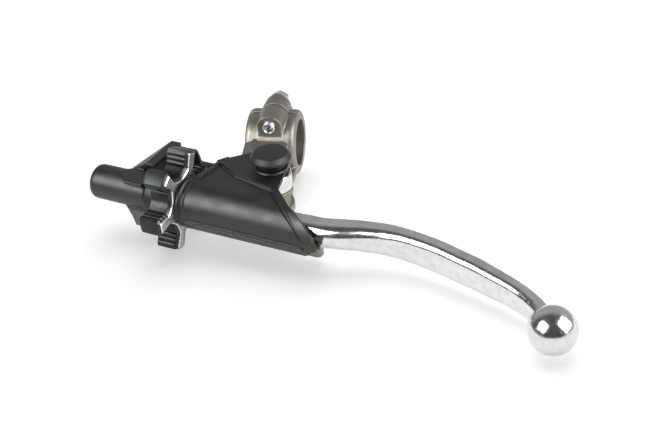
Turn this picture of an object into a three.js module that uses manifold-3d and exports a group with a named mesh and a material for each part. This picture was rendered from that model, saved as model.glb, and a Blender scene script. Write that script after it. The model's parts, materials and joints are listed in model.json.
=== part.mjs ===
// Motocross clutch lever assembly: bar clamp and perch, pivoting lever, cable
// adjuster with star wheel, rubber boot, cable sleeve and pivot cap.
// Millimetres. X runs along the handlebar towards the ball end, Y towards the
// rider, Z up along the lever pivot. The origin is on the handlebar axis.
import * as THREE from 'three';
import { mergeVertices } from 'three/addons/utils/BufferGeometryUtils.js';
import Module from 'manifold-3d';

const wasm = await Module();
wasm.setup();

// ---- driving dimensions -------------------------------------------------
const BAR_R = 11.1; // 22.2 mm handlebar
const CLAMP_LEFT = -11; // ends of the clamp along the bar
const CLAMP_RIGHT = 13.2;
const CLAMP_R = 15.7;
const BOLT_X = 1.7; // clamp bolts, above and below the bar
const BOLT_Z = 15.0;
const BOLT_R = 2.9;

const PIVOT = [9, -44];
const PIVOT_R = 3.9;
const ARM_TOP = 8.3;
const ARM_LOW = -10;
const SLOT_H = 5.6; // half height of the room for the lever's root
const SEAT_TOP = 1.9; // top of the pivot seat that the lever's eye turns on
const EYE_R = 8.8;
const EYE_LOW = 2.2;
const EYE_TOP = 9.9;
const ROOT_H = 5.3; // half height of the lever's root
const BLADE_CORNER = 0.5; // the blade's front corner radius as a share of its width

const CABLE_ANGLE = 17.14; // cable axis against the bar, degrees
const CABLE_Y = -64.5; // where the cable axis crosses X = 0
const NIPPLE = [-2.5, 0]; // rest position along and across the cable axis
const BARREL_R = 4.5;
const BARREL_BORE = 3.1;
const DETENT_R = 6.85; // detent pocket offset from the cable axis

const WHEEL_R = 22.8;
const VALLEY_R = 13.3;
const WHEEL_FACE = -29.7; // position of the machined face on the cable axis
const WHEEL_W = 11.8;
const LOBES = 6;
const LOBE_PHASE = -24;

const COVER_R = 11.2; // boot radius about the cable axis
const BOOT_TOP = 12.2;
const SLEEVE_R = 8.1;
const SLEEVE_END = -78.3;
const GUARD_R = 24.6;
const BALL = [136, -135.5];
const BALL_R = 10;

// ---- helpers ------------------------------------------------------------
const rad = (deg) => (deg * Math.PI) / 180;
const V = (x, y, z) => new THREE.Vector3(x, y, z);

function solid(geometry) {
  const bare = new THREE.BufferGeometry();
  bare.setAttribute('position', geometry.getAttribute('position').clone());
  if (geometry.index) bare.setIndex(geometry.index.clone());
  const merged = mergeVertices(bare, 1e-5);
  const vertProperties = new Float32Array(merged.getAttribute('position').array);
  const triVerts = new Uint32Array(merged.index.array);
  return new wasm.Manifold(new wasm.Mesh({ numProp: 3, vertProperties, triVerts }));
}

function geometryOf(manifold) {
  const mesh = manifold.simplify(0.004).getMesh();
  const points = new Float32Array(mesh.numVert * 3);
  for (let i = 0; i < mesh.numVert; i += 1) {
    for (let k = 0; k < 3; k += 1) {
      points[3 * i + k] = mesh.vertProperties[mesh.numProp * i + k];
    }
  }
  const out = new THREE.BufferGeometry();
  out.setAttribute('position', new THREE.BufferAttribute(points, 3));
  out.setIndex(new THREE.BufferAttribute(new Uint32Array(mesh.triVerts), 1));
  const flat = out.toNonIndexed();
  flat.computeVertexNormals();
  return flat;
}

const join = (...parts) => parts.reduce((a, b) => a.add(b));
const cut = (base, ...tools) => tools.reduce((a, b) => a.subtract(b), base);

// Solid of revolution about +Z from [radius, z] points.
function turned(profile, segments = 48) {
  const g = new THREE.LatheGeometry(profile.map(([r, z]) => new THREE.Vector2(r, z)), segments);
  return g.rotateX(Math.PI / 2);
}

const rod = (r, z0, z1, segments = 48) =>
  turned([[0, z0], [r, z0], [r, z1], [0, z1]], segments);
const pipe = (inner, outer, z0, z1, segments = 48) =>
  turned([[inner, z0], [outer, z0], [outer, z1], [inner, z1], [inner, z0]], segments);

function plate(points, z0, z1) {
  const shape = new THREE.Shape(points.map(([x, y]) => new THREE.Vector2(x, y)));
  const g = new THREE.ExtrudeGeometry(shape, { depth: z1 - z0, bevelEnabled: false });
  return g.translate(0, 0, z0);
}

// Closed skin through equal rings of points, with each end fanned from its
// middle.
function loft(rings) {
  const n = rings[0].length;
  const middle = (ring) => ring.reduce((m, p) => m.add(p), V(0, 0, 0)).divideScalar(n);
  const points = [...rings.flat(), middle(rings[0]), middle(rings.at(-1))]
    .flatMap((p) => [p.x, p.y, p.z]);
  const index = [];
  for (let i = 0; i + 1 < rings.length; i += 1) {
    for (let k = 0; k < n; k += 1) {
      const a = i * n + k;
      const b = i * n + ((k + 1) % n);
      index.push(a, b, b + n, a, b + n, a + n);
    }
  }
  const last = (rings.length - 1) * n;
  for (let k = 0; k < n; k += 1) {
    const next = (k + 1) % n;
    index.push(last + n, next, k, last + n + 1, last + k, last + next);
  }
  const g = new THREE.BufferGeometry();
  g.setAttribute('position', new THREE.Float32BufferAttribute(points, 3));
  g.setIndex(index);
  return g;
}

const alongX = (g) => g.rotateY(Math.PI / 2);
const alongY = (g) => g.rotateX(-Math.PI / 2);

// Cable frame: first coordinate along the cable towards the lever, second
// towards the rider, third up.
const cableFrame = new THREE.Matrix4()
  .makeTranslation(0, CABLE_Y, 0)
  .multiply(new THREE.Matrix4().makeRotationZ(rad(-CABLE_ANGLE)));
const onCable = (g) => g.applyMatrix4(cableFrame);
const cablePoint = ([s, r]) => {
  const p = V(s, r, 0).applyMatrix4(cableFrame);
  return [p.x, p.y];
};
// Turned piece whose profile is [radius, distance along the cable].
const cableTurned = (profile, segments) => onCable(alongX(turned(profile, segments)));
const cableRod = (r, s0, s1, segments) => onCable(alongX(rod(r, s0, s1, segments)));
const cablePipe = (a, b, s0, s1, segments) => onCable(alongX(pipe(a, b, s0, s1, segments)));
const cablePlate = (points, z0, z1) => plate(points.map(cablePoint), z0, z1);

function arc(cx, cy, r, from, to, steps) {
  const out = [];
  for (let i = 0; i <= steps; i += 1) {
    const a = rad(from + ((to - from) * i) / steps);
    out.push([cx + r * Math.cos(a), cy + r * Math.sin(a)]);
  }
  return out;
}

function hexagon(flats, z0, z1, phase = 0) {
  const r = flats / Math.sqrt(3);
  return plate(arc(0, 0, r, phase, phase + 300, 5), z0, z1);
}

const [pivotS, pivotR] = (() => {
  const p = V(PIVOT[0], PIVOT[1], 0).applyMatrix4(cableFrame.clone().invert());
  return [p.x, p.y];
})();
const atPivot = (g) => g.translate(PIVOT[0], PIVOT[1], 0);

const group = new THREE.Group();
group.name = 'clutch_lever';
function add(name, geometry, color, roughness, metalness) {
  const material = new THREE.MeshStandardMaterial({ color, roughness, metalness });
  material.name = `${name}_mat`;
  const mesh = new THREE.Mesh(geometry, material);
  mesh.name = name;
  group.add(mesh);
}
const CAST = [0x8f8a80, 0.62, 0.75];
const ZINC = [0xb9c4c8, 0.3, 0.95];
const POLISHED = [0xd2d3d0, 0.18, 1.0];
const RUBBER = [0x17181a, 0.62, 0.0];
const ANODISED = [0x1d2022, 0.35, 0.7];

// ---- bar clamp ----------------------------------------------------------
const clampRing = solid(alongX(turned([
  [BAR_R, CLAMP_LEFT], [CLAMP_R - 2.2, CLAMP_LEFT], [CLAMP_R - 0.6, CLAMP_LEFT + 0.7],
  [CLAMP_R, CLAMP_LEFT + 2.2], [CLAMP_R, CLAMP_RIGHT - 2.2],
  [CLAMP_R - 0.6, CLAMP_RIGHT - 0.7], [CLAMP_R - 2.2, CLAMP_RIGHT], [BAR_R, CLAMP_RIGHT],
  [BAR_R, CLAMP_LEFT],
], 56)));
const barBore = solid(alongX(rod(BAR_R, -40, 40, 56)));
const box = (x0, x1, y0, y1, z0, z1) =>
  solid(plate([[x0, y0], [x1, y0], [x1, y1], [x0, y1]], z0, z1));

// Tapered pinch boss, level along its top. side is +1 above the bar, -1 below.
function pinchBoss(side, y0, r0, y1, r1) {
  const top = 20.5;
  const ring = (y, r) => arc(BOLT_X, 0, r, 0, 345, 23)
    .map(([x, z]) => V(x, y, side * (top - r) + z));
  return solid(loft([ring(y0, r0), ring(y1, r1)].map((r) => r.reverse())));
}
const boltHole = (side) =>
  solid(alongY(rod(3.25, -30, 30, 24)).translate(BOLT_X, 0, side * BOLT_Z));

// ---- perch --------------------------------------------------------------
const FRONT_FACE = -13.3;
let perch = clampRing.intersect(box(-40, 40, -40, -0.45, -40, 40));
for (const side of [1, -1]) {
  perch = join(
    perch,
    pinchBoss(side, FRONT_FACE, 5.8, -0.45, 7.2),
    box(-3.9, 7.3, FRONT_FACE + 0.2, -0.45, Math.min(0, side * 14.6), Math.max(0, side * 14.6)),
  );
}
// The arm meets the ring between its boss and two notches.
const armOutline = [
  [-6.5, -9], [7.8, -9], [7.8, -13.4], [11, -16.4], [10.6, -31], [6, -36], [-2.5, -45],
  [-8.6, -31], [-9.8, -16.8], [-6.5, -13.6],
];
const lowerEar = [
  [-8, -9], [13.2, -9], [13.3, -30], ...arc(PIVOT[0], PIVOT[1], 9.3, 28, -128, 10),
  [-2.5, -45], [-8.6, -31],
];
// Seat under the lever's eye: a flange on a narrower post.
const pivotSeat = turned([
  [0, ARM_LOW], [7.4, ARM_LOW], [7.4, -1.1], [9, -1.1], [9, SEAT_TOP], [0, SEAT_TOP],
], 48);
// Sloping foot between the boss's front face and the arm's top.
const bossFoot = new THREE.ExtrudeGeometry(new THREE.Shape([
  [9.9, FRONT_FACE + 0.1], [ARM_TOP - 0.1, FRONT_FACE + 0.1], [ARM_TOP - 0.1, FRONT_FACE - 1.6],
].map(([z, y]) => new THREE.Vector2(-z, y))), { depth: 11.9, bevelEnabled: false })
  .rotateY(Math.PI / 2).translate(-4.2, 0, 0);
const webOutline = [[-10.5, 31], [-10.5, -3], [-24.4, -3], [-24.4, 9], [-21, 18.2], [-13.5, 28.5]];
const forkFloor = [
  ...arc(pivotS, pivotR, 8.9, 12, 60, 3), [-12, 28], [-12, -1.2], [36, -1.2], [37.5, 0.4],
  [37.5, 3], [36, 4.6], [24, 5.5], [14, 12],
];
const floorNose = solid(cablePlate([[-12, 2], [-12, -7.2], [16, -7.2], [22, 2]], -9, -6))
  .intersect(solid(cableRod(9.1, -12, 40)));
const lowerArm = solid(cablePlate([
  [28.5, -0.9], [35.8, -0.9], [37.1, 0.5], [37.1, 2.9], [35.8, 4.2], [28.5, 4.2],
], -14, -8.7));
perch = join(
  perch,
  solid(plate(armOutline, ARM_LOW, ARM_TOP)),
  solid(plate(lowerEar, ARM_LOW, -6.2)),
  solid(bossFoot),
  solid(cablePlate(webOutline, -8.8, 8.8)),
  solid(cableRod(8.9, -26.6, -10.5)),
  solid(cablePlate(forkFloor, -9.7, -6)),
  floorNose,
  lowerArm,
);
// Open room above the lower ear, where the lever's root and eye swing.
const forkSlot = [[-10.2, -14], [60, -14], [60, 60], [-10.2, 60]];
const leverRoom = solid(cablePlate(forkSlot, -SLOT_H, 20))
  .intersect(box(-60, 60, -120, -32.4, -20, 20));
perch = cut(
  join(cut(perch, leverRoom), solid(atPivot(pivotSeat))),
  barBore,
  solid(cableRod(BARREL_R + 0.25, -40, 0)),
  solid(atPivot(rod(PIVOT_R + 0.25, -20, 20, 40))),
  boltHole(1),
  boltHole(-1),
  solid(onCable(alongX(rod(1.8, -27, -19, 20)).translate(0, DETENT_R, 0))),
  solid(onCable(rod(1.3, -12, 0, 20).translate(-17, 0, 0))),
);
add('perch_body', geometryOf(perch), ...CAST);

// ---- clamp holder and its bolts ------------------------------------------
let holder = clampRing.intersect(box(-40, 40, 0.45, 40, -40, 40));
for (const side of [1, -1]) {
  holder = join(
    holder,
    pinchBoss(side, 0.45, 7.2, 9.6, 6.4),
    box(-5, 8.4, 0.45, 9.6, Math.min(0, side * 13.6), Math.max(0, side * 13.6)),
  );
}
const spotFace = (side) =>
  solid(alongY(rod(5.8, 9.6, 20, 32)).translate(BOLT_X, 0, side * BOLT_Z));
add('clamp_holder', geometryOf(cut(
  holder, barBore, boltHole(1), boltHole(-1), spotFace(1), spotFace(-1),
)), ...CAST);

function clampBolt(side) {
  const shank = solid(alongY(turned([
    [0, -13.9], [1.1, -13.9], [1.9, -14.8], [2.5, -14.8], [BOLT_R, -14.3],
    [BOLT_R, 10.2], [0, 10.2],
  ], 24)));
  const flange = solid(alongY(turned([[0, 9.9], [5.4, 9.9], [5.4, 10.5], [4.4, 11.4], [0, 11.4]], 32)));
  const head = solid(alongY(hexagon(8, 10.8, 15.6, 30)));
  return geometryOf(join(shank, flange, head).translate(BOLT_X, 0, side * BOLT_Z));
}
add('clamp_bolt_upper', clampBolt(1), ...ZINC);
add('clamp_bolt_lower', clampBolt(-1), ...ZINC);

// ---- pivot --------------------------------------------------------------
add('pivot_bolt', geometryOf(atPivotSolid(join(
  solid(turned([[0, -17], [3.3, -17], [PIVOT_R, -16.4], [PIVOT_R, 11], [0, 11]], 40)),
  solid(hexagon(8, 10.6, 15.6)),
  solid(rod(4.9, 10.3, 11.6, 40)),
))), ...ZINC);
function atPivotSolid(m) {
  return m.translate(PIVOT[0], PIVOT[1], 0);
}
add('pivot_washer', atPivot(pipe(PIVOT_R + 0.25, 7.2, -11.5, -10.3, 40)), ...ZINC);
add('pivot_nut', geometryOf(atPivotSolid(cut(
  join(solid(hexagon(11, -15.6, -11.8)), solid(rod(6.9, -12.7, -11.8, 40))),
  solid(rod(PIVOT_R + 0.25, -30, 0, 40)),
))), ...ZINC);
add('pivot_bush', atPivot(pipe(PIVOT_R + 0.2, 5.5, EYE_LOW, EYE_TOP, 40)), 0xa88a4a, 0.4, 0.9);

// ---- lever --------------------------------------------------------------
// Blade stations: centre x, y, width across, height.
const stations = [
  [23, -73.4, 9.6, 10.6], [30, -75.6, 10.2, 11], [37, -77.8, 10.4, 11.4],
  [44, -78.6, 10.6, 11.8], [51, -78.8, 10, 12.2], [58, -79.5, 9.1, 12.7],
  [65, -80.7, 8.4, 13.1], [72, -83, 7.7, 13.5], [80, -86.8, 7.3, 13.8],
  [88, -91.2, 7.1, 13.9], [97, -97.2, 7, 13.7], [104, -101.8, 6.9, 13.3],
  [111, -107.2, 6.6, 12.8], [118, -112.6, 6.2, 12], [124, -118, 6, 11.2],
  [129, -123.9, 6, 10.4], [132.5, -129.2, 8.4, 10.8], [134.4, -132.6, 10.6, 11.8],
];
function bladeRing(i) {
  const [x, y, w, h] = stations[i];
  const p = stations[Math.max(0, i - 1)];
  const q = stations[Math.min(stations.length - 1, i + 1)];
  const t = V(q[0] - p[0], q[1] - p[1], 0).normalize();
  const front = V(t.y, -t.x, 0);
  const a = w / 2;
  const b = h / 2;
  const k = BLADE_CORNER * w;
  const upper = [
    [a, 0], ...arc(a - k, b - k, k, 0, 90, 3), [-a + 1.2, b], [-a + 0.4, b - 0.4], [-a, b - 1.4],
  ];
  const lower = upper.slice(1).reverse().map(([u, v]) => [u, -v]);
  return [...upper, ...lower]
    .map(([u, v]) => V(x, y, v).addScaledVector(front, Math.max(u, -a)));
}
const blade = solid(loft(stations.map((_, i) => bladeRing(i)).map((r) => r.reverse())));
const ball = solid(new THREE.SphereGeometry(BALL_R, 30, 20).rotateX(Math.PI / 2)
  .translate(BALL[0], BALL[1], 0));
const rootOutline = [
  ...arc(pivotS, pivotR, EYE_R - 0.5, 20, 190, 10),
  ...arc(NIPPLE[0], NIPPLE[1], 6.2, 176, 285, 8),
  [5, -5.2], [24, -5.2], [29, -1], [24.7, 2.9], [17.2, 7.4], [11.5, 11.4], [8.8, 14],
];
const root = cut(
  solid(cablePlate(rootOutline, -ROOT_H, ROOT_H)),
  solid(atPivot(rod(9.8, -10, EYE_LOW, 48))),
);
const eye = solid(atPivot(rod(EYE_R, EYE_LOW, EYE_TOP, 48)));
// Raised shoulder that carries the eye over the seat.
const eyeNeck = solid(cablePlate(rootOutline, EYE_LOW, 9))
  .intersect(solid(atPivot(rod(13.5, EYE_LOW, 9, 48))));
let lever = join(root, eye, eyeNeck, blade, ball);
lever = cut(
  lever,
  solid(atPivot(rod(5.75, -10, 20, 40))),
  solid(onCable(rod(4.3, -10, 10, 40).translate(NIPPLE[0], NIPPLE[1], 0))),
  solid(cablePlate([[-12, -9], [NIPPLE[0], -9], [NIPPLE[0], 3.2], [-12, 3.2]], -1.6, 1.6)),
);
add('lever', geometryOf(lever), ...POLISHED);

const barrelNipple = cut(
  solid(onCable(turned([
    [0, -5.1], [3.5, -5.1], [4, -4.6], [4, 4.6], [3.5, 5.1], [0, 5.1],
  ], 40).translate(NIPPLE[0], NIPPLE[1], 0))),
  solid(cableRod(1.3, -12, 12, 20)),
);
add('cable_nipple', geometryOf(barrelNipple), ...ZINC);

// ---- cable adjuster -------------------------------------------------------
const barrel = cut(
  solid(cableTurned([
    [BARREL_BORE, -57], [5, -57], [5, -60], [6.1, -60], [6.4, -59.6], [6.4, -55.4], [6, -55],
    [BARREL_R, -55], [BARREL_R, -12.6], [BARREL_R - 0.6, -12], [BARREL_BORE, -12],
    [BARREL_BORE, -57],
  ], 40)),
  solid(cablePlate([[-26, -1.3], [-8, -1.3], [-8, 1.3], [-26, 1.3]], -8, -3.6)),
);
add('adjuster_barrel', geometryOf(barrel), 0xa9adad, 0.35, 0.9);
add('cable_cup', cablePipe(BARREL_BORE, 4.7, -61, -57.3, 32), ...ZINC);
// Pin in the perch boss that keeps the barrel from turning.
add('guide_pin', onCable(rod(1, -8.2, -4, 20).translate(-17, 0, 0)), ...ZINC);

// Star wheel: flat lobe tips, ribbed flanks, scalloped valleys.
function wheelOutline(tipR, valleyR, rib) {
  const out = [];
  const tipHalf = 9.6;
  for (let i = 0; i < LOBES; i += 1) {
    // angles run from straight up towards the front
    const mid = LOBE_PHASE + (360 / LOBES) * i;
    const polar = (r, deg) => [r * Math.cos(rad(deg)), -r * Math.sin(rad(deg))];
    const flank = (sign) => {
      const pts = [];
      for (let k = 0; k <= 4; k += 1) {
        const r = tipR - 0.6 - k * 1.35;
        const a = tipHalf + 0.5 + k * 0.6;
        pts.push(polar(r + (k % 2 ? -rib : rib) * 0.4, mid + sign * (a + (k % 2 ? -rib : 0) * 1.3)));
      }
      return pts;
    };
    out.push(...flank(-1).reverse());
    out.push(polar(tipR - 0.1, mid - tipHalf), polar(tipR, mid - tipHalf + 1.4));
    out.push(polar(tipR, mid + tipHalf - 1.4), polar(tipR - 0.1, mid + tipHalf));
    out.push(...flank(1));
    const bottom = mid + 30;
    for (let k = -2; k <= 2; k += 1) {
      out.push(polar(valleyR + 0.65 * k * k, bottom + k * 6.4));
    }
  }
  return out;
}
function wheelRing(s, tipR, valleyR, rib) {
  return wheelOutline(tipR, valleyR, rib).map(([z, r]) => V(s, r, z));
}
const back = WHEEL_FACE - WHEEL_W;
const wheelBody = solid(onCable(loft([
  wheelRing(back, WHEEL_R - 1.6, VALLEY_R - 1.2, 0.1),
  wheelRing(back + 1.1, WHEEL_R, VALLEY_R, 0.6),
  wheelRing(WHEEL_FACE - 1.1, WHEEL_R, VALLEY_R, 0.6),
  wheelRing(WHEEL_FACE, WHEEL_R - 2.1, VALLEY_R - 0.8, 0.1),
])));
const wheel = cut(
  join(
    wheelBody,
    solid(cableTurned([[0, -29.9], [8.7, -29.9], [8.7, -27.4], [8.4, -27.1], [0, -27.1]], 48)),
    solid(cableTurned([[0, -47.2], [9.6, -47.2], [10.3, -46.5], [10.3, -41], [0, -41]], 48)),
  ),
  solid(cableRod(BARREL_R + 0.25, -60, 0, 40)),
);
add('star_wheel', geometryOf(wheel), ...ANODISED);

add('detent_ball', onCable(new THREE.SphereGeometry(1.5, 16, 10).rotateX(Math.PI / 2)
  .translate(-25.3, DETENT_R, 0)), ...ZINC);
class Coil extends THREE.Curve {
  getPoint(t, target = V(0, 0, 0)) {
    const a = t * Math.PI * 2 * 4.5;
    return target.set(-23.2 + 3.4 * t, DETENT_R + 1.2 * Math.cos(a), 1.2 * Math.sin(a));
  }
}
const wire = new THREE.Shape(arc(0, 0, 0.28, 0, 300, 5).map(([x, y]) => new THREE.Vector2(x, y)));
add('detent_spring', onCable(new THREE.ExtrudeGeometry(wire, {
  steps: 54, extrudePath: new Coil(), bevelEnabled: false,
})), ...ZINC);

// ---- rubber boot ----------------------------------------------------------
// Extrusion of an (across, up) outline along the cable.
function cableSection(points, s0, s1) {
  const shape = new THREE.Shape(points.map(([r, z]) => new THREE.Vector2(r, z)));
  const g = new THREE.ExtrudeGeometry(shape, { depth: s1 - s0, bevelEnabled: false });
  g.translate(0, 0, s0);
  g.applyMatrix4(new THREE.Matrix4().makeBasis(V(0, 1, 0), V(0, 0, 1), V(1, 0, 0)));
  return solid(onCable(g));
}
const BOOT_IN = COVER_R - 1.7;
// Front panel: flat shoulder behind, round front, open underneath at the rear.
const panel = cableSection([
  [22, COVER_R], ...arc(0, 0, COVER_R, 90, 262, 15), ...arc(0, 0, BOOT_IN, 262, 90, 11),
  [22, BOOT_IN],
], -25.5, 50);
// Seen from above, in front of the ridge line.
const panelPlan = [
  [-25.5, 5], [-21.7, 20], [-9.6, 12.4], [12.4, 7], [23.4, 0], [28, -3.5], [35, -8.6],
  [40.5, -12], [40.5, -20], [-25.5, -20],
];
const BOOT_END = 39.6;
const topPlan = [
  [-25.5, 4.2], [-22.7, 19.3], [-12.7, 30.2], ...arc(pivotS, pivotR, 9.9, 112, -12, 10),
  [14.2, 9.2], [24.4, 0.6], [29.5, -3], [36.3, -8.2], [41, -10.2],
];
const ridgeInner = [
  [40.2, -11.2], [34.6, -9.4], [27.3, -4.4], [22.6, -0.9], [11.8, 6], [-9.8, 11.2],
  [-21.3, 17.6], [-24.2, 4.2],
];
const shoulder = solid(cablePlate([...topPlan, ...ridgeInner], 10.3, BOOT_TOP))
  .intersect(solid(cablePlate([[-40, -1.2], [24.2, -1.2], [24.2, 40], [-40, 40]], 0, 20)));
// Rim that follows the round front along the mouth and the lower edge.
const rimTube = cut(
  solid(cableRod(COVER_R + 0.9, -25.5, 41, 44)),
  solid(cableRod(BOOT_IN, -30, 50, 32)),
  solid(cablePlate([[-40, -1.6], [60, -1.6], [60, 40], [-40, 40]], -30, 9)),
);
const mouthRim = rimTube.intersect(solid(cablePlate([
  [22.6, -0.9], [24.4, 0.6], [29.5, -3], [36.3, -8.2], [41, -10.2], [41, -20], [36.5, -20],
  [36.5, -11.4], [34.6, -9.4], [27.3, -4.4],
], -9.6, 20)));
const lowerRim = rimTube.intersect(cableSection([[0, 0], ...arc(0, 0, 20, 197, 262, 3)], -25.5, 41));
let boot = join(
  panel.intersect(solid(cablePlate(panelPlan, -20, 20))),
  shoulder,
  mouthRim,
  lowerRim,
  solid(cablePipe(9.1, 11.6, -29.3, -27.6, 40)),
  solid(cablePipe(9.1, 10.9, -28, -26, 40)),
  solid(cablePipe(9.1, 11.6, -26.4, -24.9, 40)),
  solid(atPivot(pipe(6.75, 8.1, 10.3, 14.2, 40))),
);
boot = join(boot, solid(cablePlate([
  [-22.2, 17.5], [-23.8, 18.4], [-20.5, 23.4], [-19.2, 22.4],
], -5, BOOT_TOP)));
boot = cut(
  boot,
  solid(atPivot(rod(6.75, 0, 20, 40))),
  solid(cablePlate([[BOOT_END, -30], [60, -30], [60, 30], [BOOT_END, 30]], -30, 30)),
);
add('boot', geometryOf(boot), ...RUBBER);

add('lever_stop', geometryOf(solid(cablePlate([
  [BOOT_END + 0.3, -10.6], [43.2, -10.6], [44, -9.6], [43.4, -7.35], [BOOT_END + 0.3, -7.35],
], -4.2, 3.4))), ...RUBBER);

// ---- pivot cap --------------------------------------------------------------
add('pivot_cap', atPivot(turned([
  [0, 16.6], [5, 16.6], [5, 10.3], [6.45, 10.3], [6.45, 15.2], [8.6, 16.3], [9.3, 17.2],
  [9.3, 18], [7.9, 19.5], [7.2, 20], [0, 20],
], 36)), ...RUBBER);

// ---- cable sleeve with wheel guard --------------------------------------------
const scoopOuter = [[-63, 4, 7.4, 6], [-52.6, 4, 26.3, 12.4], [-47.6, 4, 26.3, 12.4]];
const scoopInner = [[-60.5, 2, 6.4, 4.6], [-51.6, 2, 24.6, 10.8], [-40, 2, 24.6, 10.8]];
const frustum = (list) => solid(onCable(loft(list.map(([s, r0, r1, z]) =>
  [V(s, r0, -z), V(s, r1, -z), V(s, r1, z), V(s, r0, z)]))));
const guardSection = (spread, steps) => [
  ...arc(0, 0, GUARD_R + 1.8, -spread, spread, steps),
  ...arc(0, 0, GUARD_R, spread, -spread, steps),
];
let sleeve = join(
  solid(cableTurned([
    [0, SLEEVE_END], [6.2, SLEEVE_END], [7.4, SLEEVE_END + 0.7], [SLEEVE_R, SLEEVE_END + 2.5],
    [SLEEVE_R, -48.2], [0, -48.2],
  ], 40)),
  cut(frustum(scoopOuter), frustum(scoopInner)),
  cableSection(guardSection(28, 10), -52.6, -37),
  cableSection(guardSection(11, 6), -38, -19.6),
  frustumWing(),
);
function frustumWing() {
  return solid(onCable(loft([
    [-63, -3.4, -6.2, -5], [-56, -7.5, -10.2, -5.6], [-52.6, -10, -12.6, -6], [-48.2, -10.2, -12.6, -6],
  ].map(([s, r, z, top]) => [V(s, r, z), V(s, r + 2, z - 0.4), V(s, 1, top), V(s, -1, top)]))));
}
sleeve = cut(
  sleeve,
  solid(cableRod(6.8, SLEEVE_END + 4, -40, 32)),
  solid(cableRod(5.2, -90, -70, 32)),
  solid(cableRod(GUARD_R, -48.2, -19, 56)),
);
add('cable_sleeve', geometryOf(sleeve), ...RUBBER);

export default group;
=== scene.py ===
import json
import math

import bmesh
import bpy
from mathutils import Matrix, Vector


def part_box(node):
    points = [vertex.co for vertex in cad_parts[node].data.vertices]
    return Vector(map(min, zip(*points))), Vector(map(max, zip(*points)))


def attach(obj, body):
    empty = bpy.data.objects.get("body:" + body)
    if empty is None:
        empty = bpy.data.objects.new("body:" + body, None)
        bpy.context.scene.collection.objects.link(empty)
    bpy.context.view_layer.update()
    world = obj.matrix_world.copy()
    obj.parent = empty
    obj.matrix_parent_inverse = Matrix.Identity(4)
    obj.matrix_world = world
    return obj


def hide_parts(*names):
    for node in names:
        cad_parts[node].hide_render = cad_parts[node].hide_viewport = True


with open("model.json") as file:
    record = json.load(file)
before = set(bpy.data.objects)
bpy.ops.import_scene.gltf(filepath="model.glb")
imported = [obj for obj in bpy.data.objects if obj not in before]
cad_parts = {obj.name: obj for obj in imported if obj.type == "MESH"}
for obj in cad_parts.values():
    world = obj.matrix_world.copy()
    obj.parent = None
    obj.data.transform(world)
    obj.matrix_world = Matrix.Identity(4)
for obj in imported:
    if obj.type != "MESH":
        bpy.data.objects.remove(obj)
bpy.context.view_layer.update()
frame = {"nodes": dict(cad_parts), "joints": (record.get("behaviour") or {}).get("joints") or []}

# Motocross clutch lever assembly. Pieces are drawn in millimetres in one of
# three local frames and placed in metres in the row's own frame.
MM = 0.001
joints = {j["name"]: j for j in frame["joints"]}


# ---- local frames -----------------------------------------------------------
def local_frame(origin, x_axis):
    """Millimetres to metres, with X along x_axis and Z up."""
    x = Vector(x_axis).normalized()
    z = Vector((0, 0, 1))
    turn = Matrix((x, z.cross(x), z)).transposed().to_4x4()
    return Matrix.Translation(origin) @ turn @ Matrix.Scale(MM, 4)


ROW = Matrix.Scale(MM, 4)
# Cable frame: X (s) along the cable towards the lever, Y (r) towards the rider.
CABLE = local_frame(joints["wheel_turn"]["pos_m"], joints["wheel_turn"]["axis"])
PIVOT = local_frame(joints["lever_pivot"]["pos_m"], (1, 0, 0))
pivot_in_cable = CABLE.inverted() @ PIVOT.translation
PIVOT_S, PIVOT_R = pivot_in_cable.x, pivot_in_cable.y


# ---- mesh helpers -------------------------------------------------------------
def mesh_object(name, points, faces):
    mesh = bpy.data.meshes.new(name)
    mesh.from_pydata([tuple(p) for p in points], [], faces)
    mesh.validate()
    obj = bpy.data.objects.new(name, mesh)
    bpy.context.scene.collection.objects.link(obj)
    return obj


def arc(cx, cy, radius, start, end, steps):
    turn = [math.radians(start + (end - start) * i / steps) for i in range(steps + 1)]
    return [(cx + radius * math.cos(a), cy + radius * math.sin(a)) for a in turn]


def prism(outline, low, high, axis="z"):
    """Closed prism. The outline is (x, y) along Z, or (y, z) along X."""
    n = len(outline)
    if axis == "z":
        points = [(x, y, h) for h in (low, high) for x, y in outline]
    else:
        points = [(h, y, z) for h in (low, high) for y, z in outline]
    sides = [(i, (i + 1) % n, n + (i + 1) % n, n + i) for i in range(n)]
    faces = sides + [tuple(reversed(range(n))), tuple(range(n, 2 * n))]
    return closed(mesh_object("prism", points, faces))


def loft(rings, closed_ring=False):
    """Skin through equal rings, with flat ends, or joined end to end."""
    n = len(rings[0])
    points = [p for ring in rings for p in ring]
    faces = []
    last = len(rings) if closed_ring else len(rings) - 1
    for i in range(last):
        a, b = i * n, ((i + 1) % len(rings)) * n
        faces += [(a + k, a + (k + 1) % n, b + (k + 1) % n, b + k) for k in range(n)]
    if not closed_ring:
        faces += [tuple(reversed(range(n))), tuple(range(len(points) - n, len(points)))]
    return closed(mesh_object("loft", points, faces))


def lathe(profile, axis="z", steps=96, centre=(0, 0)):
    """Solid of revolution. The profile is (radius, height), on the axis or closed."""
    points, faces, spans = [], [], []
    for radius, height in profile:
        spans.append((len(points), 1 if radius == 0 else steps))
        for i in range(spans[-1][1]):
            a = 2 * math.pi * i / steps
            u, v = radius * math.cos(a) + centre[0], radius * math.sin(a) + centre[1]
            points.append((u, v, height) if axis == "z" else (height, u, v))
    pairs = list(zip(spans, spans[1:]))
    if profile[0][0] > 0 and profile[-1][0] > 0:
        pairs.append((spans[-1], spans[0]))
    for (a, na), (b, nb) in pairs:
        for i in range(steps):
            j = (i + 1) % steps
            corner = [a + i % na, a + j % na, b + j % nb, b + i % nb]
            face = list(dict.fromkeys(corner))
            if len(face) > 2:
                faces.append(face)
    return closed(mesh_object("lathe", points, faces))


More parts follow.
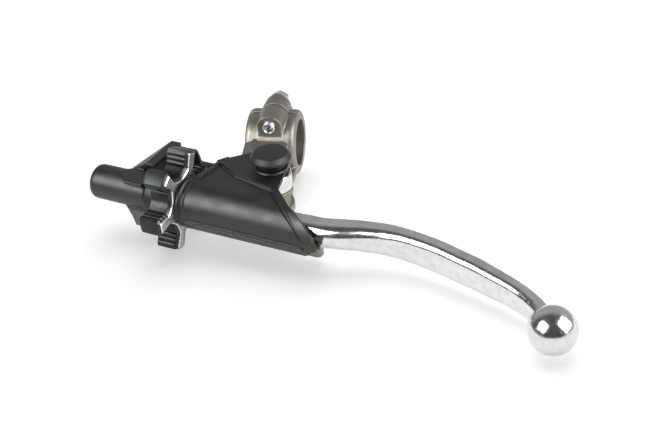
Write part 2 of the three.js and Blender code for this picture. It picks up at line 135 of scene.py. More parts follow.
def rod(radius, low, high, axis="z", steps=96, centre=(0, 0)):
    return lathe([(0, low), (radius, low), (radius, high), (0, high)], axis, steps, centre)


def closed(obj):
    """Makes the faces point out."""
    bm = bmesh.new()
    bm.from_mesh(obj.data)
    bmesh.ops.recalc_face_normals(bm, faces=bm.faces)
    if bm.calc_volume(signed=True) < 0:
        bmesh.ops.reverse_faces(bm, faces=bm.faces)
    bm.to_mesh(obj.data)
    bm.free()
    return obj


def apply_modifiers(obj):
    graph = bpy.context.evaluated_depsgraph_get()
    mesh = bpy.data.meshes.new_from_object(obj.evaluated_get(graph))
    obj.modifiers.clear()
    obj.data = mesh
    return obj


def boolean(obj, tools, operation):
    for tool in tools:
        m = obj.modifiers.new("boolean", "BOOLEAN")
        m.operation = operation
        m.solver = "MANIFOLD"
        m.object = tool
    apply_modifiers(obj)
    for tool in tools:
        bpy.data.objects.remove(tool)
    return obj


def cut(obj, *tools):
    return boolean(obj, tools, "DIFFERENCE")


def common(obj, *tools):
    return boolean(obj, tools, "INTERSECT")


def join(obj, *tools):
    return boolean(obj, tools, "UNION")


def soften(obj, voxel, rounds, share=0.5):
    """Turns the solid into an even mesh and rounds its edges."""
    m = obj.modifiers.new("even", "REMESH")
    m.mode = "VOXEL"
    m.voxel_size = voxel
    m = obj.modifiers.new("round", "SMOOTH")
    m.factor = share
    m.iterations = rounds
    return obj


def place(obj, name, matrix, body, replaced, slot, *materials):
    """Moves a finished piece into the row's frame and hangs it on its body."""
    apply_modifiers(obj)
    obj.data.transform(matrix)
    obj.name = name
    obj.data.name = name
    obj.data.materials.clear()
    for m in materials:
        obj.data.materials.append(m)
    obj.data.shade_smooth()
    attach(obj, body)
    if replaced:
        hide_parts(*replaced)
    return obj


# ---- materials ------------------------------------------------------------------
class Surface:
    """A Principled material with small helpers for procedural detail."""

    def __init__(self, name, color, metallic, roughness):
        self.material = bpy.data.materials.new(name)
        self.material.use_nodes = True
        self.tree = self.material.node_tree
        self.shader = self.tree.nodes["Principled BSDF"]
        self.shader.inputs["Base Color"].default_value = (*color, 1)
        self.shader.inputs["Metallic"].default_value = metallic
        self.shader.inputs["Roughness"].default_value = roughness
        self.place = self.tree.nodes.new("ShaderNodeTexCoord").outputs["Object"]
        self.bumps = None

    def stretch(self, scale, turn=0.0):
        node = self.tree.nodes.new("ShaderNodeMapping")
        node.inputs["Scale"].default_value = scale
        node.inputs["Rotation"].default_value = (0, 0, turn)
        self.tree.links.new(self.place, node.inputs["Vector"])
        return node.outputs["Vector"]

    def noise(self, scale, detail=3.0, roughness=0.5, vector=None):
        node = self.tree.nodes.new("ShaderNodeTexNoise")
        node.inputs["Scale"].default_value = scale
        node.inputs["Detail"].default_value = detail
        node.inputs["Roughness"].default_value = roughness
        self.tree.links.new(vector or self.place, node.inputs["Vector"])
        return node.outputs["Fac"]

    def ramp(self, value, low, high, to_low, to_high):
        node = self.tree.nodes.new("ShaderNodeMapRange")
        for key, number in zip(("From Min", "From Max", "To Min", "To Max"),
                               (low, high, to_low, to_high)):
            node.inputs[key].default_value = number
        self.tree.links.new(value, node.inputs["Value"])
        return node.outputs["Result"]

    def mix_color(self, factor, a, b):
        node = self.tree.nodes.new("ShaderNodeMix")
        node.data_type = "RGBA"
        node.inputs["A"].default_value = (*a, 1)
        node.inputs["B"].default_value = (*b, 1)
        self.tree.links.new(factor, node.inputs["Factor"])
        return node.outputs["Result"]

    def color(self, value):
        self.tree.links.new(value, self.shader.inputs["Base Color"])

    def roughness(self, value):
        self.tree.links.new(value, self.shader.inputs["Roughness"])

    def bump(self, value, height, strength=1.0):
        node = self.tree.nodes.new("ShaderNodeBump")
        node.inputs["Strength"].default_value = strength
        node.inputs["Distance"].default_value = height * MM
        self.tree.links.new(value, node.inputs["Height"])
        if self.bumps:
            self.tree.links.new(self.bumps, node.inputs["Normal"])
        self.bumps = node.outputs["Normal"]
        self.tree.links.new(self.bumps, self.shader.inputs["Normal"])


def rubber(name, base, rough=0.46):
    s = Surface(name, base, 0.0, rough)
    s.shader.inputs["IOR"].default_value = 1.6
    fine = s.noise(2600, 2)
    broad = s.noise(180, 4)
    light = tuple(1.7 * c + 0.003 for c in base)
    s.color(s.mix_color(s.ramp(broad, 0.3, 0.75, 0, 1), base, light))
    s.roughness(s.ramp(broad, 0.25, 0.75, rough - 0.05, rough + 0.09))
    s.bump(fine, 0.05, 0.35)
    s.bump(s.noise(420, 2), 0.06, 0.25)
    return s.material


def cast_alloy(name):
    s = Surface(name, (0.32, 0.30, 0.27), 0.9, 0.45)
    grain = s.noise(1900, 3, 0.65)
    stain = s.noise(90, 4)
    s.color(s.mix_color(s.ramp(stain, 0.3, 0.7, 0, 1), (0.25, 0.24, 0.21), (0.34, 0.325, 0.29)))
    s.roughness(s.ramp(grain, 0.3, 0.7, 0.36, 0.52))
    s.bump(grain, 0.14, 0.5)
    s.bump(s.noise(520, 2), 0.12, 0.3)
    return s.material


def polished_alloy(name):
    s = Surface(name, (0.74, 0.74, 0.73), 1.0, 0.14)
    mottle = s.noise(620, 3, 0.6)
    cloud = s.ramp(s.noise(330, 4), 0.35, 0.7, 0, 1)
    s.color(s.mix_color(cloud, (0.70, 0.70, 0.69), (0.80, 0.80, 0.79)))
    s.roughness(s.ramp(mottle, 0.3, 0.7, 0.11, 0.24))
    s.bump(mottle, 0.08, 0.6)
    s.bump(s.noise(240, 2), 0.08, 0.3)
    return s.material


def satin_alloy(name, color, rough, scratch=(1, 1, 1), turn=0.0):
    s = Surface(name, color, 1.0, rough)
    lines = s.noise(900, 3, 0.6, s.stretch(scratch, turn))
    s.roughness(s.ramp(lines, 0.25, 0.75, rough - 0.07, rough + 0.1))
    dark = tuple(0.8 * c for c in color)
    s.color(s.mix_color(s.ramp(s.noise(160, 3), 0.3, 0.7, 0, 1), dark, color))
    s.bump(lines, 0.03, 0.4)
    return s.material


def zinc(name):
    s = Surface(name, (0.7, 0.75, 0.77), 1.0, 0.34)
    cloud = s.noise(300, 3)
    s.color(s.mix_color(s.ramp(cloud, 0.3, 0.7, 0, 1), (0.60, 0.67, 0.70), (0.82, 0.85, 0.86)))
    s.roughness(s.ramp(cloud, 0.3, 0.7, 0.26, 0.44))
    s.bump(s.noise(1500, 2), 0.03, 0.3)
    return s.material


CAST = cast_alloy("cast_alloy")
POLISHED = polished_alloy("polished_alloy")
SATIN_TOP = satin_alloy("satin_top", (0.72, 0.73, 0.72), 0.34)
ZINC = zinc("zinc_steel")
TURNED = satin_alloy("turned_alloy", (0.55, 0.55, 0.56), 0.3)
SPRING = satin_alloy("spring_steel", (0.42, 0.42, 0.43), 0.3)
BRONZE = satin_alloy("bronze", (0.58, 0.38, 0.17), 0.3)
WHEEL_GREY = satin_alloy("wheel_grey", (0.052, 0.055, 0.056), 0.40)
WHEEL_FACE = satin_alloy("wheel_face", (0.75, 0.75, 0.74), 0.45)
WHEEL_FACE.node_tree.nodes["Principled BSDF"].inputs["Metallic"].default_value = 0.2
WHEEL_BLACK = rubber("wheel_black", (0.010, 0.010, 0.010), 0.32)
BRIGHT_CUT = satin_alloy("bright_cut", (0.92, 0.92, 0.92), 0.22)
BOOT = rubber("boot_rubber", (0.009, 0.009, 0.0085), 0.43)
SLEEVE = rubber("sleeve_rubber", (0.012, 0.012, 0.0115), 0.42)
CAP = rubber("cap_rubber", (0.008, 0.008, 0.008), 0.52)


# ---- camera and stage ---------------------------------------------------------------
SENSOR = 36.0
FOCAL_PX = 1331.5
FRAME_PX = 668
AZIMUTH, ELEVATION, ROLL = 11.33, 33.12, 3.71
CAMERA_AT = Vector((0.13555, -0.54193, 0.31521))


def make_camera():
    data = bpy.data.cameras.new("camera")
    data.sensor_width = SENSOR
    data.lens = FOCAL_PX * SENSOR / FRAME_PX
    data.clip_start = 0.01
    data.clip_end = 20
    camera = bpy.data.objects.new("camera", data)
    bpy.context.scene.collection.objects.link(camera)
    a, e, r = (math.radians(v) for v in (AZIMUTH, ELEVATION, ROLL))
    back = Vector((math.sin(a) * math.cos(e), -math.cos(a) * math.cos(e), math.sin(e)))
    right = Vector((math.cos(a), math.sin(a), 0))
    up = back.cross(right)
    x = right * math.cos(r) - up * math.sin(r)
    y = right * math.sin(r) + up * math.cos(r)
    camera.matrix_world = Matrix.Translation(CAMERA_AT) @ Matrix((x, y, back)).transposed().to_4x4()
    bpy.context.scene.camera = camera


# The part rests on the table with its ball, a wheel lobe and the lower clamp boss.
TABLE_NORMAL = Vector((-0.0665, 0.0126, 0.9977))
TABLE_HEIGHT = -0.0210


def make_stage():
    across = TABLE_NORMAL.cross(Vector((0, 1, 0))).normalized()
    deep = across.cross(TABLE_NORMAL)
    centre = TABLE_NORMAL * TABLE_HEIGHT
    reach = 3.0
    corners = [centre + (-across * sx + deep * sy) * reach
               for sx, sy in ((1, -1), (-1, -1), (-1, 1), (1, 1))]
    floor = mesh_object("floor", corners, [(0, 1, 2, 3)])
    s = Surface("floor_white", (0.86, 0.86, 0.86), 0.0, 0.9)
    s.shader.inputs["Specular IOR Level"].default_value = 0
    s.shader.inputs["Emission Color"].default_value = (1, 1, 1, 1)
    s.shader.inputs["Emission Strength"].default_value = 0.55
    floor.data.materials.append(s.material)


def softbox(name, direction, distance, size, watts, mirrored):
    """Square area light: either seen in the gloss only, or lighting only."""
    data = bpy.data.lights.new(name, "AREA")
    data.shape = "SQUARE"
    data.size = size
    data.energy = watts
    light = bpy.data.objects.new(name, data)
    bpy.context.scene.collection.objects.link(light)
    aim = Vector((0.04, -0.07, 0))
    away = Vector(direction).normalized()
    light.location = aim + away * distance
    light.rotation_mode = "QUATERNION"
    light.rotation_quaternion = away.to_track_quat("Z", "Y")
    light.visible_glossy = mirrored
    light.visible_diffuse = not mirrored


def make_lights():
    softbox("softbox_left", (-0.63, -0.49, 0.60), 0.95, 0.62, 10.5, True)
    softbox("softbox_right", (0.80, -0.15, 0.58), 0.95, 0.74, 13, True)
    softbox("overhead", (-0.12, 0.30, 1.0), 2.5, 2.4, 34, False)
    world = bpy.data.worlds.new("studio")
    bpy.context.scene.world = world
    world.use_nodes = True
    nodes, links = world.node_tree.nodes, world.node_tree.links
    back = nodes["Background"]
    back.inputs["Strength"].default_value = 1.0
    where = nodes.new("ShaderNodeTexCoord")
    split = nodes.new("ShaderNodeSeparateXYZ")
    links.new(where.outputs["Generated"], split.inputs["Vector"])
    ramp = nodes.new("ShaderNodeValToRGB")
    stops = ramp.color_ramp
    stops.elements[0].position, stops.elements[0].color = 0.0, (0.05, 0.055, 0.06, 1)
    stops.elements[1].position, stops.elements[1].color = 0.80, (0.42, 0.42, 0.41, 1)
    middle = stops.elements.new(0.62)
    middle.color = (0.09, 0.09, 0.095, 1)
    shift = nodes.new("ShaderNodeMapRange")
    shift.inputs["From Min"].default_value = -1
    shift.inputs["From Max"].default_value = 1
    links.new(split.outputs["Y"], shift.inputs["Value"])
    links.new(shift.outputs["Result"], ramp.inputs["Fac"])
    links.new(ramp.outputs["Color"], back.inputs["Color"])


# ---- carried-over CAD nodes ------------------------------------------------------------
def dress(node, material, voxel=0.0, rounds=0):
    """Gives a CAD node its material, and for a casting rounds its edges."""
    obj = frame["nodes"][node]
    obj.data.materials.clear()
    obj.data.materials.append(material)
    if voxel:
        soften(obj, voxel * MM, rounds)
    for polygon in obj.data.polygons:
        polygon.use_smooth = bool(voxel)


def dress_frame():
    dress("perch_body", CAST, 0.30, 12)
    dress("clamp_holder", CAST, 0.30, 12)
    for node in ("pivot_bolt", "pivot_washer", "pivot_nut", "cable_nipple"):
        dress(node, ZINC)
    dress("pivot_bush", BRONZE)
    for node in ("adjuster_barrel", "cable_cup"):
        dress(node, TURNED)
    for node in ("guide_pin", "detent_ball", "detent_spring"):
        dress(node, SPRING)


# ---- lever ---------------------------------------------------------------------------
lever_low, lever_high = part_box("lever")
BALL_R = lever_high.z / MM
BALL = Vector((lever_high.x / MM - BALL_R, lever_low.y / MM + BALL_R, 0))
BALL_RINGS = 74
NECK_BLEND = 0.9  # how near blade and ball swell into each other
BLADE_CORNER = 0.5  # front corner radius as a share of the width
REAR_CORNER = 1.0
# Blade stations: centre x, y, width across, height.
STATIONS = [
    (23, -73.4, 9.6, 10.6), (30, -75.6, 10.2, 11), (37, -77.8, 10.4, 11.4),
    (44, -78.6, 10.6, 11.8), (51, -78.8, 10, 12.2), (58, -79.5, 9.1, 12.7),
    (65, -80.7, 8.4, 13.1), (72, -83, 7.7, 13.5), (80, -86.8, 7.3, 13.8),
    (88, -91.2, 7.1, 13.9), (97, -97.2, 7, 13.7), (104, -101.8, 6.9, 13.3),
    (111, -107.2, 6.6, 12.8), (118, -112.6, 6.2, 12), (124, -118, 6, 11.2),
    (129, -123.9, 6, 10.4),
]


def spline(points, steps):
    """Catmull-Rom curve through tuples of numbers."""
    out = []
    for i in range(len(points) - 1):
        p = [points[max(0, min(len(points) - 1, i + k))] for k in (-1, 0, 1, 2)]
        for j in range(steps):
            t = j / steps
            out.append(tuple(
                0.5 * (2 * b + (c - a) * t + (2 * a - 5 * b + 4 * c - d) * t * t
                       + (3 * b - a - 3 * c + d) * t ** 3)
                for a, b, c, d in zip(*p)))
    out.append(points[-1])
    return out


def blade_section(w, h, steps=72):
    """Evenly spaced (across, up) points of a rounded rectangle, large radii in front."""
    a, b = w / 2, h / 2
    front = BLADE_CORNER * w
    upper = ([(a, 0)] + arc(a - front, b - front, front, 0, 90, 12)
             + arc(REAR_CORNER - a, b - REAR_CORNER, REAR_CORNER, 90, 180, 6) + [(-a, 0)])
    corners = [Vector(p) for p in upper + [(u, -v) for u, v in reversed(upper[1:-1])]]
    spans = [(q - p).length for p, q in zip(corners, corners[1:] + corners[:1])]
    pitch = sum(spans) / steps
    points, done = [], 0.0
    for p, q, span in zip(corners, corners[1:] + corners[:1], spans):
        while len(points) * pitch < done + span - 1e-9:
            points.append(p.lerp(q, (len(points) * pitch - done) / span))
        done += span
    return points[:steps]


def lever_rings():
    """Rings along the blade that grow into the ball's slices."""
    path = spline(STATIONS, 8)
    end = Vector(path[-1][:2])
    toward = BALL.xy - end
    reach = toward.length + BALL_R - 0.02
    for i in range(1, BALL_RINGS + 1):
        share = 1 - (1 - i / BALL_RINGS) ** 1.6
        p = end + toward.normalized() * reach * share
        path.append((p.x, p.y, path[-1][2], path[-1][3]))
    rings = []
    for i, (x, y, w, h) in enumerate(path):
        before, after = path[max(0, i - 1)], path[min(len(path) - 1, i + 1)]
        t = (Vector(after[:2]) - Vector(before[:2])).normalized()
        front = Vector((t.y, -t.x, 0))
        centre = Vector((x, y, 0))
        off = (centre - BALL).length
        ahead = (centre.xy - BALL.xy).dot(toward) > 0
        globe = math.sqrt(max(0.0, BALL_R ** 2 - off ** 2)) if off < BALL_R else 0.0
        ring = []
        for u, v in blade_section(w, h):
            size = math.hypot(u, v)
            if ahead:
                grown = globe
            else:
                near = max(0.0, NECK_BLEND - abs(size - globe)) if globe else 0.0
                grown = max(size, globe) + 0.25 * near ** 2 / NECK_BLEND
            ring.append(centre + (front * u + Vector((0, 0, v))) * (grown / size))
        rings.append(ring)
    return rings


EYE_R = 8.8
EYE_LOW, EYE_TOP = 2.2, 9.9
NECK_R, NECK_TOP = 13.5, 9
ROOT_H = 5.3  # half height of the root
SEAT_CLEAR = 9.8  # room for the perch's seat under the eye
BUSH_R = 5.75
NIPPLE_S, NIPPLE_R = -2.5, 4.3


def at_pivot(obj):
    obj.data.transform(ROW.inverted() @ PIVOT)
    return obj


def on_cable(obj):
    obj.data.transform(ROW.inverted() @ CABLE)
    return obj


def round_edges(obj, width, segments=3):
    bevel = obj.modifiers.new("bevel", "BEVEL")
    bevel.width = width
    bevel.segments = segments
    bevel.limit_method = "ANGLE"
    return apply_modifiers(obj)


def make_lever():
    blade = loft(lever_rings())
    outline = (arc(PIVOT_S, PIVOT_R, EYE_R - 0.5, 20, 190, 48) + arc(NIPPLE_S, 0, 6.2, 176, 285, 32)
               + [(5, -5.2), (24, -5.2), (29, -1), (24.7, 2.9), (17.2, 7.4), (11.5, 11.4), (8.8, 14)])
    root = on_cable(round_edges(prism(outline, -ROOT_H, ROOT_H), 0.5))
    root = cut(root, at_pivot(rod(SEAT_CLEAR, -10, EYE_LOW)))
    eye = at_pivot(lathe([
        (0, EYE_LOW), (EYE_R - 0.3, EYE_LOW), (EYE_R, EYE_LOW + 0.3), (EYE_R, EYE_TOP - 0.4),
        (EYE_R - 0.4, EYE_TOP), (0, EYE_TOP)], steps=128))
    neck = common(on_cable(prism(outline, EYE_LOW, NECK_TOP)), at_pivot(rod(NECK_R, EYE_LOW, NECK_TOP)))
    bore = at_pivot(rod(BUSH_R, -10, 20))
    seat = on_cable(rod(NIPPLE_R, -10, 10, centre=(NIPPLE_S, 0)))
    slot = on_cable(prism([(-12, -9), (NIPPLE_S, -9), (NIPPLE_S, 3.2), (-12, 3.2)], -1.6, 1.6))
    lever = cut(join(blade, root, eye, neck), bore, seat, slot)
    sharp(lever, 38)
    lever = place(lever, "lever_forging", ROW, "lever_arm", ["lever"], "lever_alloy",
                  POLISHED, SATIN_TOP)
    for f in lever.data.polygons:
        blade_top = abs(f.normal.z) > 0.985 and abs(f.center.z) > 0.0035 and 0.022 < f.center.x < 0.1245
        f.material_index = 1 if blade_top else 0


def sharp(obj, degrees):
    obj.data.shade_smooth()
    obj.data.set_sharp_from_angle(angle=math.radians(degrees))


# ---- star wheel ----------------------------------------------------------------------
WHEEL_R = 22.8
VALLEY_R = 13.3
FACE_S = -29.7
WHEEL_W = 11.8
LOBES = 6
PHASE = -24
TIP_HALF = 9.6


def wheel_outline(inset, ribs):
    """(r, z) points. The angle runs from straight up towards the front."""
    out = []

    def polar(radius, degrees):
        a = math.radians(degrees)
        return (-radius * math.sin(a), radius * math.cos(a))

    def flank(mid, sign):
        points = []
        for k in range(19):
            depth = k / 18
            wave = abs(math.sin(3 * math.pi * depth)) ** 0.6 if depth < 1 else 0
            radius = WHEEL_R - 0.7 - inset - (6.6 - 0.7 * inset) * depth
            side = math.radians(TIP_HALF + 0.3 + 2.2 * depth) * radius - inset + ribs * 0.45 * wave
            points.append(polar(radius, mid + sign * math.degrees(side / radius)))
        return points
    tip = TIP_HALF - 0.6 - math.degrees(inset / WHEEL_R)
    span = 2.6 + math.degrees(inset / 15) * 0.9 / 6
    for lobe in range(LOBES):
        mid = PHASE + 60 * lobe
        out += reversed(flank(mid, -1))
        out += [polar(WHEEL_R - 0.25 - inset, mid - tip - 0.5)]
        out += [polar(WHEEL_R - inset, mid - tip + 2 * tip * k / 6) for k in range(7)]
        out += [polar(WHEEL_R - 0.25 - inset, mid + tip + 0.5)]
        out += flank(mid, 1)
        out += [polar(VALLEY_R - inset + 2.1 * (k / 6) ** 2, mid + 30 + k * span) for k in range(-6, 7)]
    return out


def make_wheel():
    back = FACE_S - WHEEL_W
    rim = [(back, 1.4, 0), (back + 0.9, 0.35, 0.7), (back + 1.4, 0, 1), (FACE_S - 1.7, 0, 1),
           (FACE_S - 1.4, 0.12, 0.8), (FACE_S - 0.35, 1.1, 0), (FACE_S, 1.5, 0)]
    rings = [[(s, r, z) for r, z in wheel_outline(inset, ribs)] for s, inset, ribs in rim]

    def toward_hub(ring, s, radius, share):
        out = []
        for _, r, z in ring:
            scale = radius / math.hypot(r, z)
            out.append((s, r + (r * scale - r) * share, z + (z * scale - z) * share))
        return out

    def hub(s, radius):
        return toward_hub(rings[-1], s, radius, 1)
    front = rings[-1]
    dish = [toward_hub(front, FACE_S - 1.2 * k / 4, 10.2, k / 4) for k in range(1, 5)]
    right_hub = [hub(s, radius) for s, radius in (
        (FACE_S - 1.2, 8.7), (-27.6, 8.7), (-27.25, 8.55), (-27.1, 8.2), (-27.1, 5.2), (-27.4, 4.75))]
    left_hub = [hub(s, radius) for s, radius in (
        (-46.9, 4.75), (-47.2, 5.1), (-47.2, 9.3), (-47.0, 9.8), (-46.6, 10.15), (-46.0, 10.3),
        (back + 0.2, 10.3))]
    well = toward_hub(rings[0], back, 11.2, 1)
    body = loft(rings + dish + right_hub + left_hub + [well], closed_ring=True)
    per_ring = len(rings[0])
    finish = {4: 1, 5: 2, 6: 3, 7: 3, 8: 3, 9: 3, 10: 3}
    wheel = place(body, "wheel_casting", CABLE, "wheel", ["star_wheel"], "wheel_alloy",
                  WHEEL_GREY, WHEEL_BLACK, BRIGHT_CUT, WHEEL_FACE)
    for i, polygon in enumerate(wheel.data.polygons):
        polygon.material_index = finish.get(i // per_ring, 0)
    sharp(wheel, 28)


# ---- pivot cap ------------------------------------------------------------------------
def make_cap():
    body = lathe([
        (0, 16.6), (5, 16.6), (5, 10.3), (6.45, 10.3), (6.45, 15.0), (6.7, 15.4), (8.5, 16.2),
        (9.15, 16.7), (9.3, 17.1), (9.3, 17.7), (9.2, 17.95), (7.75, 19.75), (7.55, 19.92),
        (7.25, 20.0), (0, 20.0),
    ], steps=128)
    cap = place(body, "cap_button", PIVOT, "perch", ["pivot_cap"], "black_rubber", CAP)
    sharp(cap, 40)


# ---- screws -------------------------------------------------------------------------
def hexagon(flats, phase):
    return arc(0, 0, flats / math.sqrt(3), phase, phase + 300, 5)


def hex_head(flats, low, high, phase, ends=1):
    """Hexagon with its corners turned off at the top, or at both ends."""
    r = flats / math.sqrt(3)
    inner = flats / 2 * 0.95
    drop = (r - inner) * 0.6
    foot = [(0, low), (inner, low), (r + 0.1, low + drop)] if ends == 2 else [(0, low), (r + 0.1, low)]
    turned = lathe(foot + [(r + 0.1, high - drop), (inner, high), (0, high)], steps=64)
    return common(prism(hexagon(flats, phase), low - 1, high + 1), turned)


def make_clamp_screw(name, node, side):
    hollow = [(0, -11.2), (2.0, -11.2), (2.05, -14.4), (2.3, -14.75), (2.55, -14.8), (2.9, -14.4)]
    threads = []
    for i in range(40):
        threads += [(2.9, -13.8 + i * 0.6), (2.68, -13.5 + i * 0.6)]
    shank = lathe(hollow + threads + [(2.9, 10.2), (0, 10.2)], steps=64)
    flange = lathe([(0, 9.9), (5.3, 9.9), (5.4, 10.1), (5.4, 10.4), (5.2, 10.6), (4.5, 11.3), (0, 11.6)],
                   steps=64)
    head = hex_head(8, 10.8, 15.6, 30)
    dimple = lathe([(0, 15.1), (2.0, 15.1), (2.4, 15.8), (0, 15.8)], steps=48)
    screw = cut(join(shank, flange, head), dimple)
    # the local Z of a screw runs along the row's +Y
    stand = Matrix.Translation((SCREW_X * MM, 0, side * SCREW_Z * MM)) @ ROW @ Matrix.Rotation(
        math.radians(-90), 4, "X")
    screw = place(screw, name, stand, "perch", [node], "zinc_steel", ZINC)
    sharp(screw, 30)


SCREW_LOW, SCREW_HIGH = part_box("clamp_bolt_upper")
SCREW_X = (SCREW_LOW.x + SCREW_HIGH.x) / 2 / MM
SCREW_Z = (SCREW_LOW.z + SCREW_HIGH.z) / 2 / MM


# ---- rubber boot -------------------------------------------------------------------------
COVER_R = 11.2
BOOT_IN = COVER_R - 1.7
RIM_R = COVER_R + 0.9
BOOT_TOP = 12.2
BOOT_END = 41.2
BOOT_START = -25.5
SKIRT_END = 41
BEAD_SINK = 0.12  # how deep the bead's centre line lies in the rim
GROOVE = 1.1  # distance of the panel's groove from the rim's edge
LOW_EDGE = 197.5  # angle of the panel's lower edge about the cable axis
CAP_HOLE_R = 6.75
SHOULDER_LOW = 10.3
PANEL_PLAN = [(-25.5, 5), (-21.7, 20), (-9.6, 12.4), (12.4, 7), (17.8, 1.2), (22.6, -3), (27, -6.4),
              (31, -8.8), (35, -11), (37, -11.4), (37, -20), (-25.5, -20)]
RIDGE = [(-24.2, 4.2), (-21.3, 17.6), (-9.8, 11.2), (11.4, 6.1), (15.6, 1.9)]
# The mouth's band about the cable axis: angle from the rider's side, inner and outer edge.
MOUTH = [(80, 15.6, 19.4), (90, 17.5, 21.5), (102, 20.2, 24.1), (113, 22.6, 27.6), (125, 25.4, 31.1),
         (140, 28.8, 34.8), (157, 32.2, 38.1), (172, 34.1, 39.9), (189, 35.2, 41.2), (200, 35.4, 41.4)]
# Below its tip the boot's front end runs back: angle and position along the cable.
TIP = [(186, 41.6), (192, 40.9), (197, 39), (204, 36.8), (213, 34.8), (225, 33.4), (266, 33)]


def bead(path, radius):
    """Round bead along a polyline, mitred at its corners."""
    rings = []
    points = [Vector(p) for p in path]
    for i, p in enumerate(points):
        before, after = points[max(0, i - 1)], points[min(len(points) - 1, i + 1)]
        t = (after - before).normalized()
        side = t.cross(Vector((0.3, 0.2, 1))).normalized()
        up = side.cross(t)
        rings.append([p + side * radius * c + up * radius * s for c, s in arc(0, 0, 1, 0, 330, 11)])
    return loft(rings)


def inward(path, distance):
    """Shifts an (s, r) path sideways, to the right of its direction."""
    out = []
    for i, p in enumerate(path):
        a, b = Vector(path[max(0, i - 1)]), Vector(path[min(len(path) - 1, i + 1)])
        t = (b - a).normalized()
        out.append((p[0] + t.y * distance, p[1] - t.x * distance))
    return out


def around(degrees, points):
    """(s, radius) points at one angle about the cable axis, from +r towards +z."""
    a = math.radians(degrees)
    return [(s, radius * math.cos(a), radius * math.sin(a)) for s, radius in points]


def on_panel(s, r, proud=0.0):
    reach = COVER_R + proud
    return (s, r, math.sqrt(max(0.0, reach ** 2 - r ** 2)) if r < 0 else reach)


def on_rim(s, r, proud=0.0):
    reach = RIM_R + proud
    z = BOOT_TOP + proud if r > 0 else math.sqrt(max(0.0, reach ** 2 - r ** 2))
    return (s, r, min(z, BOOT_TOP + proud))


def skirt(radius, first, last, steps):
    """Strip of the boot's wall between two angles about the cable axis."""
    tube = lathe([
        (BOOT_IN, BOOT_START), (radius, BOOT_START), (radius, SKIRT_END), (BOOT_IN, SKIRT_END),
    ], "x", 128)
    return common(tube, prism([(0, 0)] + arc(0, 0, 20, first, last, steps), BOOT_START, SKIRT_END, "x"))


def make_boot():
    section = ([(22, COVER_R)] + arc(0, 0, COVER_R, 90, 262, 60) + arc(0, 0, BOOT_IN, 262, 90, 40)
               + [(22, BOOT_IN)])
    panel = common(prism(section, BOOT_START, 50, "x"), prism(PANEL_PLAN, -20, 20))
    plan = ([(-25.5, 4.2), (-22.7, 19.3), (-12.7, 30.2)] + arc(PIVOT_S, PIVOT_R, 9.9, 112, 62, 16)
            + [(8.4, 27.6), (13.7, 7.9), (14.4, 6.9), (19.2, 2.2), (22.2, -1.2)]
            + [(17.9, -0.4)] + list(reversed(RIDGE)))
    shoulder = common(prism(plan, SHOULDER_LOW, BOOT_TOP),
                      prism([(-40, -1.2), (24.2, -1.2), (24.2, 40), (-40, 40)], 0, 20))
    mouth = loft([around(angle, [(first, BOOT_IN), (last, BOOT_IN), (last, RIM_R), (first, RIM_R)])
                  for angle, first, last in spline(MOUTH, 6)])
    ledge = skirt(RIM_R, 197, 221, 2)
    under = skirt(RIM_R - 0.25, 223.5, 262, 3)
    collar = lathe([
        (9.1, -29.3), (11.2, -29.3), (11.6, -28.9), (11.6, -28.1), (11.2, -27.7), (10.7, -27.5),
        (10.6, -26.9), (10.9, -26.6), (11.45, -26.4), (11.6, -26.0), (11.6, -25.4), (11.3, -24.9),
        (9.1, -24.9)], "x", 128)
    cap_rim = lathe([
        (CAP_HOLE_R, SHOULDER_LOW), (7.5, SHOULDER_LOW), (7.5, 12.6), (7.3, 12.9), (7.1, 13.0),
        (CAP_HOLE_R, 12.9)], "z", 96, (PIVOT_S, PIVOT_R))
    wall = prism([(-22.2, 17.5), (-23.8, 18.4), (-20.5, 23.4), (-19.2, 22.4)], -5, BOOT_TOP)
    edge = [on_rim(s, r, -BEAD_SINK) for s, r in RIDGE]
    for angle, first, _ in spline(MOUTH, 2)[2:-3]:
        edge += around(angle, [(first, RIM_R - BEAD_SINK)])
    edge += around(LOW_EDGE, [(s, RIM_R - BEAD_SINK) for s in (34.6, 20, 0, -24.5)])
    foot = [on_panel(s, r) for s, r in inward(RIDGE[1:], 0.95)]
    for angle, first, _ in spline(MOUTH, 2)[2:-4]:
        foot += around(angle, [(first - GROOVE, COVER_R)])
    foot += around(LOW_EDGE - 4.9, [(s, COVER_R) for s in (33, 20, 0, -24)])
    boot = join(panel, shoulder, mouth, ledge, under, collar, cap_rim, wall, bead(edge, 0.36))
    boot = cut(
        boot,
        bead(foot, 0.42),
        rod(CAP_HOLE_R, 0, 20, centre=(PIVOT_S, PIVOT_R)),
        loft([around(angle, [(end, 8), (60, 8), (60, 16), (end, 16)]) for angle, end in spline(TIP, 3)]),
        prism([(BOOT_END, -30), (60, -30), (60, 30), (BOOT_END, 30)], -30, 30))
    soften(boot, 0.21, 2)
    place(boot, "boot_moulding", CABLE, "perch", ["boot"], "black_rubber", BOOT)


# ---- cable sleeve -----------------------------------------------------------------------
SLEEVE_R = 8.1
SLEEVE_END = -78.3
SLEEVE_STOP = -48.2
SLEEVE_BORE = 6.8
CABLE_INLET = 5.2
GUARD_R = 24.6


def wedge(sections):
    """Skin through rectangles given as (s, r low, r high, z low, z high)."""
    return loft([[(s, r0, z0), (s, r1, z0), (s, r1, z1), (s, r0, z1)] for s, r0, r1, z0, z1 in sections])


def guard_shell(half_angle, first, last):
    outline = (arc(0, 0, GUARD_R + 1.8, -half_angle, half_angle, 24)
               + arc(0, 0, GUARD_R, half_angle, -half_angle, 24))
    return prism(outline, first, last, "x")


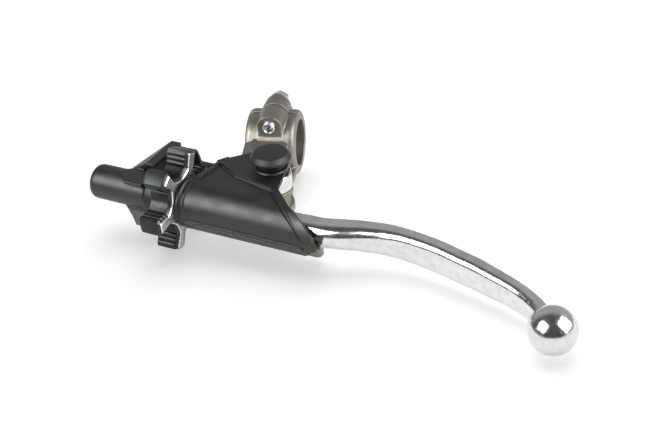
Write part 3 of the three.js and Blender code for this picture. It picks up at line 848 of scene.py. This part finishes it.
def make_sleeve():
    tube = lathe([
        (0, SLEEVE_END), (6.0, SLEEVE_END), (6.9, SLEEVE_END + 0.25), (7.6, SLEEVE_END + 0.9),
        (8.0, SLEEVE_END + 1.9), (SLEEVE_R, SLEEVE_END + 3), (SLEEVE_R, SLEEVE_STOP), (0, SLEEVE_STOP)],
        "x", 128)
    scoop = cut(
        wedge([(-63, 4, 7.4, -6, 6), (-52.6, 4, 26.3, -12.4, 12.4), (-47.6, 4, 26.3, -12.4, 12.4)]),
        wedge([(-60.5, 2, 6.4, -4.6, 4.6), (-51.6, 2, 24.6, -10.8, 10.8), (-40, 2, 24.6, -10.8, 10.8)]))
    lower_wing = loft([
        [(s, r, z), (s, r + 2, z - 0.4), (s, 1, top), (s, -1, top)]
        for s, r, z, top in ((-63, -3.4, -6.2, -5), (-56, -7.5, -10.2, -5.6), (-52.6, -10, -12.6, -6),
                             (SLEEVE_STOP, -10.2, -12.6, -6))])
    shelf = wedge([
        (-63, -0.6, 3, 6.6, 7.9), (-57.6, -7.4, 5, 6.7, 8.4), (SLEEVE_STOP, -7.6, 5, 6.7, 8.4)])
    sleeve = join(tube, scoop, lower_wing, shelf,
                  guard_shell(28, -52.6, -37), guard_shell(11, -38, -19.6))
    sleeve = cut(
        sleeve,
        rod(SLEEVE_BORE, SLEEVE_END + 4, -40, "x"),
        rod(CABLE_INLET, -90, -70, "x"),
        rod(GUARD_R, SLEEVE_STOP, -19, "x", 192))
    soften(sleeve, 0.26, 3)
    place(sleeve, "sleeve_moulding", CABLE, "perch", ["cable_sleeve"], "black_rubber", SLEEVE)


# ---- lever stop ------------------------------------------------------------------------
def make_lever_stop():
    """Ribbed rubber pad at the boot's mouth."""
    first = 38.2
    pad = prism([(first, -9), (41.2, -9), (41.4, -7.5), (first, -7.5)], -2.6, 1.7)
    ribs = []
    for z, reach in ((1.3, 42.3), (-0.6, 41.9), (-2.4, 41.4)):
        ribs.append(prism([(first, -9.1), (reach - 0.6, -9.1), (reach, -8.3), (reach - 0.3, -7.35),
                           (first, -7.35)], z - 0.7, z + 0.7))
    pad = soften(join(pad, *ribs), 0.16, 2)
    place(pad, "stop_pad", CABLE, "perch", ["lever_stop"], "black_rubber", SLEEVE)


# ---- run ---------------------------------------------------------------------------
make_camera()
make_stage()
make_lights()
dress_frame()
make_lever()
make_wheel()
make_cap()
make_clamp_screw("screw_upper", "clamp_bolt_upper", 1)
make_clamp_screw("screw_lower", "clamp_bolt_lower", -1)
make_boot()
make_lever_stop()
make_sleeve()

scene = bpy.context.scene
scene.view_settings.view_transform = "Standard"
scene.view_settings.look = "None"
